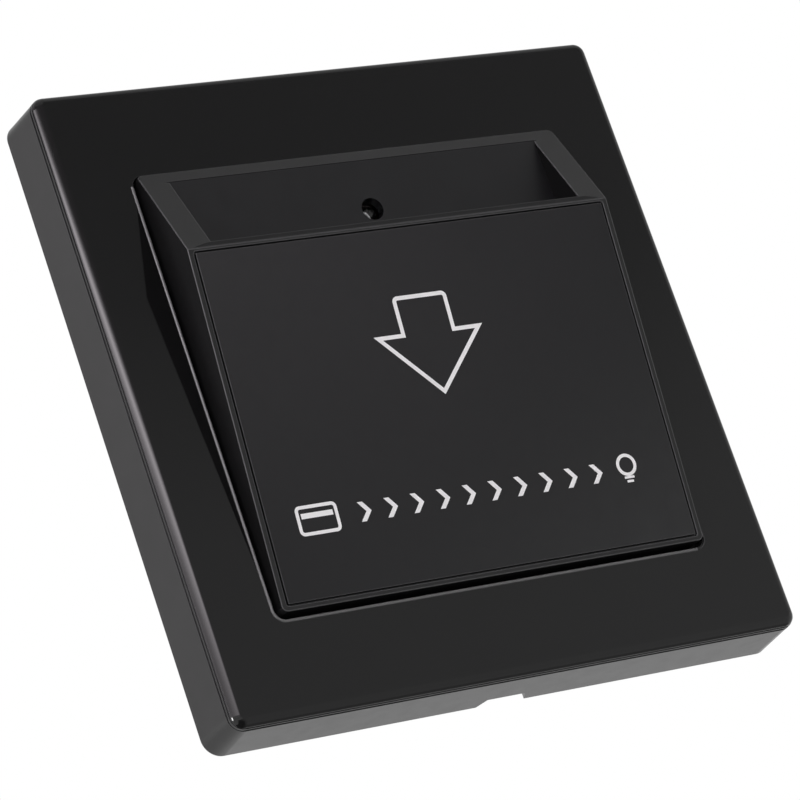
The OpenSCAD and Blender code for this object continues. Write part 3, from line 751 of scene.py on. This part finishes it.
def draw_signs(shape):
    """A printed row: a card, a line of chevrons, and a lamp."""
    card_half = Vector((2.8, 1.75))
    card_corner_r = 0.5
    middle = Vector((CARD_X, SIGN_V))
    ink_line(shape, box_outline(middle - card_half, middle + card_half, card_corner_r), on_panel, SIGN_LINE)
    stripe_low = middle + Vector((-2.3, 0.25))
    stripe_size = Vector((4.6, 0.7))
    ink_fill(shape, box_outline(stripe_low, stripe_low + stripe_size), on_panel)
    half, arm, point = 1.3, 0.75, 1.05
    chevron = [(0, half), (arm, half), (arm + point, 0), (arm, -half), (0, -half), (point, 0)]
    for i in range(CHEVRON_COUNT):
        corner = Vector((CHEVRON_START + i * CHEVRON_STEP, SIGN_V))
        ink_fill(shape, [corner + Vector(p) for p in chevron], on_panel)
    bulb_r, bulb_rise = 1.3, 0.55
    ink_line(shape, circle(BULB_X, SIGN_V + bulb_rise, bulb_r), on_panel, SIGN_LINE)
    thread_t = 0.32
    for half, drop in ((0.75, 1.3), (0.5, 1.85)):
        low = Vector((BULB_X - half, SIGN_V - drop))
        ink_fill(shape, box_outline(low, low + Vector((2 * half, thread_t))), on_panel)


# The bead beside the groove: the opening's edges, the bead's section, and its lighter grey, which is a
# painted highlight.
OPENING_HALF_W = 32.4
OPENING_LOW_UP = -31.3
OPENING_HIGH_UP = 31.0
OPENING_R = 1.4
BEAD_R = 0.2
BEAD_MIDDLE = 0.22
BEAD_ROOT = -0.05
BEAD_TURN_STEPS = 9
BEAD_ROUND_STEPS = 8
BEAD_HIGHLIGHT_GREY = (0.14, 0.14, 0.141)


def draw_bead(shape):
    """The polished length of the bead that carries the painted highlight: down the left side, round the
    corner and along the foot.
    """
    turn_x = OPENING_HALF_W - OPENING_R
    corner = Vector((-turn_x, OPENING_LOW_UP + OPENING_R))
    stations = [(Vector((-OPENING_HALF_W, OPENING_HIGH_UP - OPENING_R)), Vector((-1, 0)))]
    for step in range(BEAD_TURN_STEPS + 1):
        turn = math.radians(180 + 90 * step / BEAD_TURN_STEPS)
        away = Vector((math.cos(turn), math.sin(turn)))
        stations.append((corner + away * OPENING_R, away))
    stations.append((Vector((turn_x, OPENING_LOW_UP)), Vector((0, -1))))
    turns = [math.pi * i / BEAD_ROUND_STEPS for i in range(BEAD_ROUND_STEPS + 1)]
    profile = [(BEAD_MIDDLE - BEAD_R * math.cos(t), BEAD_R * math.sin(t)) for t in turns]
    profile += [(BEAD_MIDDLE + BEAD_R, BEAD_ROOT), (BEAD_MIDDLE - BEAD_R, BEAD_ROOT)]
    rings = []
    for point, away in stations:
        places = [(point + away * reach, height) for reach, height in profile]
        rings.append([shape.verts.new(at_wall(p.x, p.y, FACE_OUT + height)) for p, height in places])
    loft(shape, rings)
    shape.faces.new(rings[0])
    shape.faces.new(rings[-1])


def make_bead():
    """The bead's polished length, lighter than the plate as a painted highlight."""
    bead = new_mesh_object("groove_bead", draw_bead)
    bead.data.materials.append(plastic("bead_polish_highlight", BEAD_HIGHLIGHT_GREY, 0.1, 0.3, 0.0006))
    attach(bead, "front")


# The level land on the mouth's front lip: its two edges up the wall, half its length at each, and its depth.
LAND_FRONT_UP = 17.12
LAND_BACK_UP = 17.7
LAND_FRONT_HALF = 31.2
LAND_BACK_HALF = 28.8
LAND_ROOT = 15.75
LAND_OUT = 16.143


def draw_land(shape):
    """A level strip on the slanted lip in front of the card, mitred towards the cheeks."""
    corners = [(-LAND_FRONT_HALF, LAND_FRONT_UP), (LAND_FRONT_HALF, LAND_FRONT_UP),
        (LAND_BACK_HALF, LAND_BACK_UP), (-LAND_BACK_HALF, LAND_BACK_UP)]
    plate(shape, [Vector(corner) for corner in corners], at_wall, LAND_ROOT, LAND_OUT)


# The lamp's inside, measured from the cup's rim: the cup as radius and height, and each leg's sides and top.
LAMP_RIM_DROP = 1.9
LAMP_CUP = [(0.4, -0.9), (0.62, -0.3), (0.62, 0), (0.52, 0), (0.25, -0.45)]
LAMP_LEGS = [(-1.1, 0.2, -0.85), (0.6, 1.1, -0.6)]
LAMP_LEG_HALF = 0.25
LAMP_LEG_START = 0.1


def draw_lamp_frame(shape):
    """The lamp's inside: a small cup on its broad leg, and the thin leg beside it."""
    low, high = wall_box("indicator_led")
    x, up = (low.x + high.x) / 2, (low.y + high.y) / 2
    rim = high.z - LAMP_RIM_DROP
    foot = low.z + LAMP_LEG_START
    turned(shape, [(r, rim + h) for r, h in LAMP_CUP], at_wall, x, up)
    for left, right, top in LAMP_LEGS:
        block(shape, (x + left, up - LAMP_LEG_HALF, foot), (x + right, up + LAMP_LEG_HALF, rim + top))


# The leaf spring: its thickness, the length held on the bar, its hooked end, and its edges.
SPRING_T = 0.3
SPRING_HELD = 4
SPRING_HOOK = 1
SPRING_CHAMFER = 0.06
SPRING_STEPS = 16


def make_spring():
    """The leaf spring: held flat on the cross bar, and bent by the lever that rests on its end."""
    low, high = wall_box("lever_spring")
    held, end = Vector((high.y - SPRING_HELD, 0)), Vector((low.y + SPRING_HOOK, high.z))
    line = [Vector((high.y, 0))] + [held.lerp(end, i / SPRING_STEPS) for i in range(SPRING_STEPS + 1)]
    line.append(Vector((low.y, high.z - SPRING_T)))
    section = box_outline((low.x, -SPRING_T), (high.x, 0), SPRING_CHAMFER)

    def build(shape):
        rings = [[shape.verts.new(at_wall(p.x, on.x, on.y + p.y)) for p in section] for on in line]
        loft(shape, rings)
        shape.faces.new(rings[0])
        shape.faces.new(rings[-1])
    spring = new_mesh_object("bending_spring", build)
    spring.data.materials.append(materials["spring_bronze"])
    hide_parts("lever_spring")
    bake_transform(spring)


# The board's print: its distance from the pieces, its line's width, and its corners.
PRINT_MARGIN = 0.45
PRINT_LINE = 0.2
PRINT_CORNER_R = 0.3


def board_top():
    """How far out of the wall the board's front is."""
    return wall_box("circuit_board")[1].z


def draw_board_print(shape):
    """White outlines round the pieces on the board."""
    for node in ("relay", "film_capacitor", "switch_case", "series_resistor"):
        low, high = wall_box(node)
        border = box_outline(low, high, PRINT_CORNER_R, PRINT_MARGIN)
        ink_line(shape, border, at_wall, PRINT_LINE, board_top())
    for node in ("smoothing_capacitor", "led_spacer"):
        low, high = wall_box(node)
        middle = (low + high) / 2
        radius = (high.x - low.x) / 2 + PRINT_MARGIN
        ink_line(shape, circle(middle.x, middle.y, radius), at_wall, PRINT_LINE, board_top())


# Tinned rings round the screws' heads, and solder as pairs of radius and height.
SCREW_HEAD_R = 1.9
RING_W = 0.8
RING_CLEAR = 0.05
RING_HIGH = 0.04
SOLDER_INSET = 0.3
SOLDER = [(0.95, INK_LOW), (0.6, 0.15), (0.4, 0.45), (0.33, 0.75)]


def draw_pads(shape):
    """Bare tinned rings round the board's screws, and solder at the resistor's feet."""
    low, high = wall_box("board_screws")
    head = SCREW_HEAD_R
    for x in (low.x + head, high.x - head):
        for up in (low.y + head, high.y - head):
            outer, inner = circle(x, up, head + RING_W), circle(x, up, head + RING_CLEAR)
            hollow(shape, outer, inner, at_wall, board_top() + INK_LOW, board_top() + RING_HIGH)
    low, high = wall_box("series_resistor")
    for x in (low.x + SOLDER_INSET, high.x - SOLDER_INSET):
        turned(shape, [(r, board_top() + h) for r, h in SOLDER], at_wall, x, (low.y + high.y) / 2)


# The copper runs: how many, where the first begins, how far apart they are, and their bend and section.
TRACE_COUNT = 4
TRACE_FIRST_X = 1.2
TRACE_FIRST_UP = 1.5
TRACE_STEP_X = 1.5
TRACE_STEP_UP = 2.2
TRACE_BEND = 1.5
TRACE_HALF = 0.45
TRACE_LOW = 0.002
TRACE_HIGH = 0.02


def draw_traces(shape):
    """Copper under the green lacquer: runs that leave the relay and turn down to the switch."""
    relay_low, relay_high = wall_box("relay")
    switch_high = wall_box("switch_case")[1]
    half, bend = TRACE_HALF, TRACE_BEND
    start, end = relay_high.x, switch_high.y
    for i in range(TRACE_COUNT):
        up = relay_low.y + TRACE_FIRST_UP + TRACE_STEP_UP * i
        x = relay_high.x + TRACE_FIRST_X + TRACE_STEP_X * (i + 1)
        low, high, left, right = up - half, up + half, x - half, x + half
        inside = [(start, low), (x - bend, low), (left, up - bend), (left, end)]
        outside = [(right, end), (right, up - bend + half), (x - bend + half, high), (start, high)]
        path = [Vector(p) for p in inside + outside]
        plate(shape, path, at_wall, board_top() + TRACE_LOW, board_top() + TRACE_HIGH)


# The round capacitor's end: the bare top inside the rolled sleeve, the cross pressed in it, and the stripe.
CAN_BARE_INSET = 0.7
CAN_BARE_LEVELS = (-0.1, 0.02, 0.05)
CAN_BARE_CHAMFER = 0.2
CAN_BARE_MIDDLE_R = 0.4
CAN_ROLL_INSETS = (0.05, 0.75)
CAN_ROLL_LEVELS = (-0.05, 0.22)
CAN_CROSS_INSET = 1.4
CAN_CROSS_HALF = 0.12
CAN_CROSS_LEVELS = (0.04, 0.07)
CAN_STRIPE_START = -115
CAN_STRIPE_STEP = 5
CAN_STRIPE_STEPS = 10
CAN_STRIPE_SKIN = (0.005, 0.03)
CAN_STRIPE_END = 0.8


def round_can():
    """The round capacitor's middle, radius, and lowest and highest levels."""
    low, high = wall_box("smoothing_capacitor")
    return ((low + high) / 2).xy, (high.x - low.x) / 2, low.z, high.z


def draw_can_top(shape):
    """The bare aluminium top of the round capacitor."""
    middle, radius, _, top = round_can()
    bare = radius - CAN_BARE_INSET
    sunk, edge, flat = CAN_BARE_LEVELS
    profile = [(bare, sunk), (bare, edge), (bare - CAN_BARE_CHAMFER, flat), (CAN_BARE_MIDDLE_R, flat)]
    turned(shape, [(r, top + h) for r, h in profile], at_wall, middle.x, middle.y)


def draw_can_sleeve(shape):
    """The rolled end of its plastic sleeve, and the dark lines of the pressed cross."""
    middle, radius, _, top = round_can()
    outer, inner = (circle(middle.x, middle.y, radius - inset) for inset in CAN_ROLL_INSETS)
    low, high = (top + level for level in CAN_ROLL_LEVELS)
    hollow(shape, outer, inner, at_wall, low, high)
    arm = radius - CAN_CROSS_INSET
    low, high = (top + level for level in CAN_CROSS_LEVELS)
    for half in (Vector((arm, CAN_CROSS_HALF)), Vector((CAN_CROSS_HALF, arm))):
        plate(shape, box_outline(middle - half, middle + half), at_wall, low, high)


def draw_can_stripe(shape):
    """The light stripe that marks one lead of the round capacitor."""
    middle, radius, foot, top = round_can()
    turns = [math.radians(CAN_STRIPE_START + CAN_STRIPE_STEP * i) for i in range(CAN_STRIPE_STEPS + 1)]
    spokes = [Vector((math.cos(turn), math.sin(turn))) for turn in turns]
    inner, outer = ([middle + spoke * (radius + skin) for spoke in spokes] for skin in CAN_STRIPE_SKIN)
    plate(shape, inner + outer[::-1], at_wall, foot + CAN_STRIPE_END, top - CAN_STRIPE_END)


def across_wall(node):
    """Turns pieces about a line that runs to the right through the middle of a solid's box."""
    low, high = wall_box(node)
    middle = (low + high) / 2
    axis_out = high.z - (high.y - low.y) / 2

    def place(x, y, along):
        return at_wall(middle.x + along, middle.y + x, axis_out + y)
    return place


# The resistor: an end as pairs of radius and distance from the middle, and its rings' colours and places.
RESISTOR_END = [(1.15, 1.9), (1.36, 2.15), (1.36, 2.8), (1.1, 3.08), (0.5, 3.12)]
RESISTOR_RING_R = (1.23, 1.15)
RESISTOR_RING_HALF = 0.25
RESISTOR_BANDS = {
    "band_brown": ((0.16, 0.05, 0.02), -1.4),
    "band_black": ((0.01, 0.01, 0.01), -0.5),
    "band_red": ((0.50, 0.03, 0.02), 0.4),
    "band_gold": ((0.55, 0.36, 0.08), 1.5),
}


def make_resistor_bands():
    """The resistor's thicker ends and its four coloured rings."""
    place = across_wall("series_resistor")

    def ends(shape):
        for side in (-1, 1):
            turned(shape, [(r, side * along) for r, along in RESISTOR_END], place, 0, 0)
    add_piece("resistor_ends", ends, "resistor_lacquer", "base")
    for name, (colour, along) in RESISTOR_BANDS.items():
        def ring(shape, along=along):
            outer, inner = (circle(0, 0, radius) for radius in RESISTOR_RING_R)
            hollow(shape, outer, inner, place, along - RESISTOR_RING_HALF, along + RESISTOR_RING_HALF)
        band = new_mesh_object(name, ring)
        band.data.materials.append(plastic(name, colour, 0.35, 0.3, 0.004))
        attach(band, "base")


# The relay's print: its border, its coil, and its pins.
RELAY_PRINT_INSET = 2.2
RELAY_PRINT_LINE = 0.25
RELAY_PRINT_CORNER_R = 0.6
RELAY_COIL_HALF = Vector((1.2, 2.6))
RELAY_PIN_INSET = 4.5
RELAY_PIN_R = 0.5


def draw_relay_print(shape):
    """The relay's wiring sign: a frame, a coil and its pins."""
    low, high = wall_box("relay")
    border = box_outline(low, high, RELAY_PRINT_CORNER_R, -RELAY_PRINT_INSET)
    ink_line(shape, border, at_wall, RELAY_PRINT_LINE, high.z)
    middle = ((low + high) / 2).xy
    coil = box_outline(middle - RELAY_COIL_HALF, middle + RELAY_COIL_HALF)
    ink_line(shape, coil, at_wall, RELAY_PRINT_LINE, high.z)
    for x in (low.x + RELAY_PIN_INSET, high.x - RELAY_PIN_INSET):
        for up in (low.y + RELAY_PIN_INSET, high.y - RELAY_PIN_INSET):
            ink_fill(shape, circle(x, up, RELAY_PIN_R), at_wall, high.z)


# Ribs of the housing: their breadth, heights and places. The grid and the marks begin above the terminals.
RIB_T = 1.2
RIB_END = 2
HOUSING_HALF_H = 27
SIDE_RIB_H = 0.8
SIDE_RIB_STEP = 10
SIDE_RIB_OUT = -3
BACK_RIB_H = 0.7
BACK_RIB_X = (-16, 0, 16)
CROSS_RIB_H = 0.5
CROSS_RIB_ROOT = 0.1
CROSS_RIB_UP = (9, 23)
MARK_X = (-8, 8)
MARK_UP = (4.5, 16, 28)
MARK_R = (2.2, 1.9)
MARK_H = 0.15


def draw_housing_ribs(shape):
    """Ribs on the housing's sides, a raised grid on its back, and round moulding marks."""
    low, high = wall_box("rear_housing")
    start = wall_box("terminal_block")[1].y + RIB_END
    back = low.z
    half = RIB_T / 2
    for side in (-1, 1):
        wall = side * high.x
        inner, outer = sorted((wall, wall + side * SIDE_RIB_H))
        for i in range(-2, 3):
            up = SIDE_RIB_STEP * i
            block(shape, (inner, up - half, back + RIB_END), (outer, up + half, SIDE_RIB_OUT))
    for x in BACK_RIB_X:
        block(shape, (x - half, start, back - BACK_RIB_H), (x + half, HOUSING_HALF_H - RIB_END, back))
    for rise in CROSS_RIB_UP:
        up = start + rise
        corner = (low.x + RIB_END, up - half, back - CROSS_RIB_H)
        block(shape, corner, (high.x - RIB_END, up + half, back + CROSS_RIB_ROOT))
    for x in MARK_X:
        for rise in MARK_UP:
            outer, inner = (circle(x, start + rise, radius) for radius in MARK_R)
            hollow(shape, outer, inner, at_wall, back - MARK_H, back)


# Ribs of the mounting frame: its front, their height and places; and the rims of its fixing slots.
MOUNT_OUT = 2.2
MOUNT_RIB_H = 1.3
MOUNT_RIB_END = 6
MOUNT_RIB_INSET_UP = 5.5
MOUNT_RIB_INSET_X = 3.5
MOUNT_SIDE_RIB_HALF = 13
SLOT_X = 30.15
SLOT_HALF = Vector((3.5, 2))
SLOT_R = 1.99
SLOT_RIM = (1.3, 0.35)
SLOT_RIM_H = 0.6


def draw_mount_ribs(shape):
    """Stiffening ribs on the mounting frame, and raised rims round its fixing slots."""
    low, high = wall_box("mounting_frame")
    top = MOUNT_OUT
    ridge = top + MOUNT_RIB_H
    half = RIB_T / 2
    for side in (-1, 1):
        up = side * (high.y - MOUNT_RIB_INSET_UP)
        block(shape, (low.x + MOUNT_RIB_END, up - half, top), (high.x - MOUNT_RIB_END, up + half, ridge))
        x = side * (high.x - MOUNT_RIB_INSET_X)
        block(shape, (x - half, -MOUNT_SIDE_RIB_HALF, top), (x + half, MOUNT_SIDE_RIB_HALF, ridge))
        middle = Vector((side * SLOT_X, 0))
        slot = box_outline(middle - SLOT_HALF, middle + SLOT_HALF, SLOT_R)
        outer, inner = (offset(slot, reach) for reach in SLOT_RIM)
        hollow(shape, outer, inner, at_wall, top, top + SLOT_RIM_H)


# How broad the rounded edges are, in millimetres, and the lighter grey of the smooth ones, a painted
# highlight.
HOLDER_EDGE = 0.12
PANEL_EDGE = 0.06
LAND_EDGE = 0.05
RIB_EDGE = 0.2
EDGE_HIGHLIGHT_GREY = (0.06, 0.06, 0.062)
EDGE_WIDTHS = {
    "mounting_frame": 0.2, "frame_clips": 0.08, "rear_housing": 0.3, "housing_screws": 0.15,
    "card_lever": 0.2, "switch_case": 0.25, "circuit_board": 0.08,
    "board_screws": 0.12, "relay": 0.4, "film_capacitor": 0.6, "smoothing_capacitor": 0.5,
    "terminal_block": 0.2, "terminal_clamps": 0.15, "terminal_screws": 0.15, "terminal_tails": 0.08,
}

scene.view_settings.view_transform = "Standard"
make_camera()
make_world()
make_floor()
make_card("ceiling_card", ceiling_place, ceiling_level, WHITE)
make_card("trough_card", trough_place, trough_level, WHITE)
make_card("band_card", band_place, band_level, PINKISH)
make_lamp("key_light", *KEY_LIGHT, mirrored=False)
make_lamp("glint_light", *GLINT_LIGHT, mirrored=True)
materials = make_materials()
dress_nodes()
# The smooth edges of the holder and the panel are glossier, and their lighter grey is a painted highlight.
smooth_highlight_edge = plastic("smooth_highlight_edge", EDGE_HIGHLIGHT_GREY, 0.14, 0.3, 0.0006)
round_edges(nodes["card_holder"], HOLDER_EDGE, smooth_highlight_edge)
round_edges(nodes["front_panel"], PANEL_EDGE, smooth_highlight_edge)
for node, width in EDGE_WIDTHS.items():
    round_edges(nodes[node], width)
add_piece("printed_arrow", draw_arrow, "mark_ink", "front")
add_piece("printed_signs", draw_signs, "mark_ink", "front")
make_bead()
round_edges(add_piece("mouth_land", draw_land, "holder_satin", "front"), LAND_EDGE)
add_piece("lamp_frame", draw_lamp_frame, "lead_tin", "base")
add_piece("board_print", draw_board_print, "mark_ink", "base")
add_piece("board_pads", draw_pads, "lead_tin", "base")
add_piece("board_traces", draw_traces, "board_laminate", "base")
add_piece("can_top", draw_can_top, "lead_tin", "base")
add_piece("can_sleeve_end", draw_can_sleeve, "can_sleeve", "base")
add_piece("can_stripe", draw_can_stripe, "mark_ink", "base")
make_resistor_bands()
make_spring()
add_piece("relay_print", draw_relay_print, "mark_ink", "base")
round_edges(add_piece("housing_ribs", draw_housing_ribs, "housing_plastic", "base"), RIB_EDGE)
round_edges(add_piece("mount_ribs", draw_mount_ribs, "mount_plastic", "base"), RIB_EDGE)
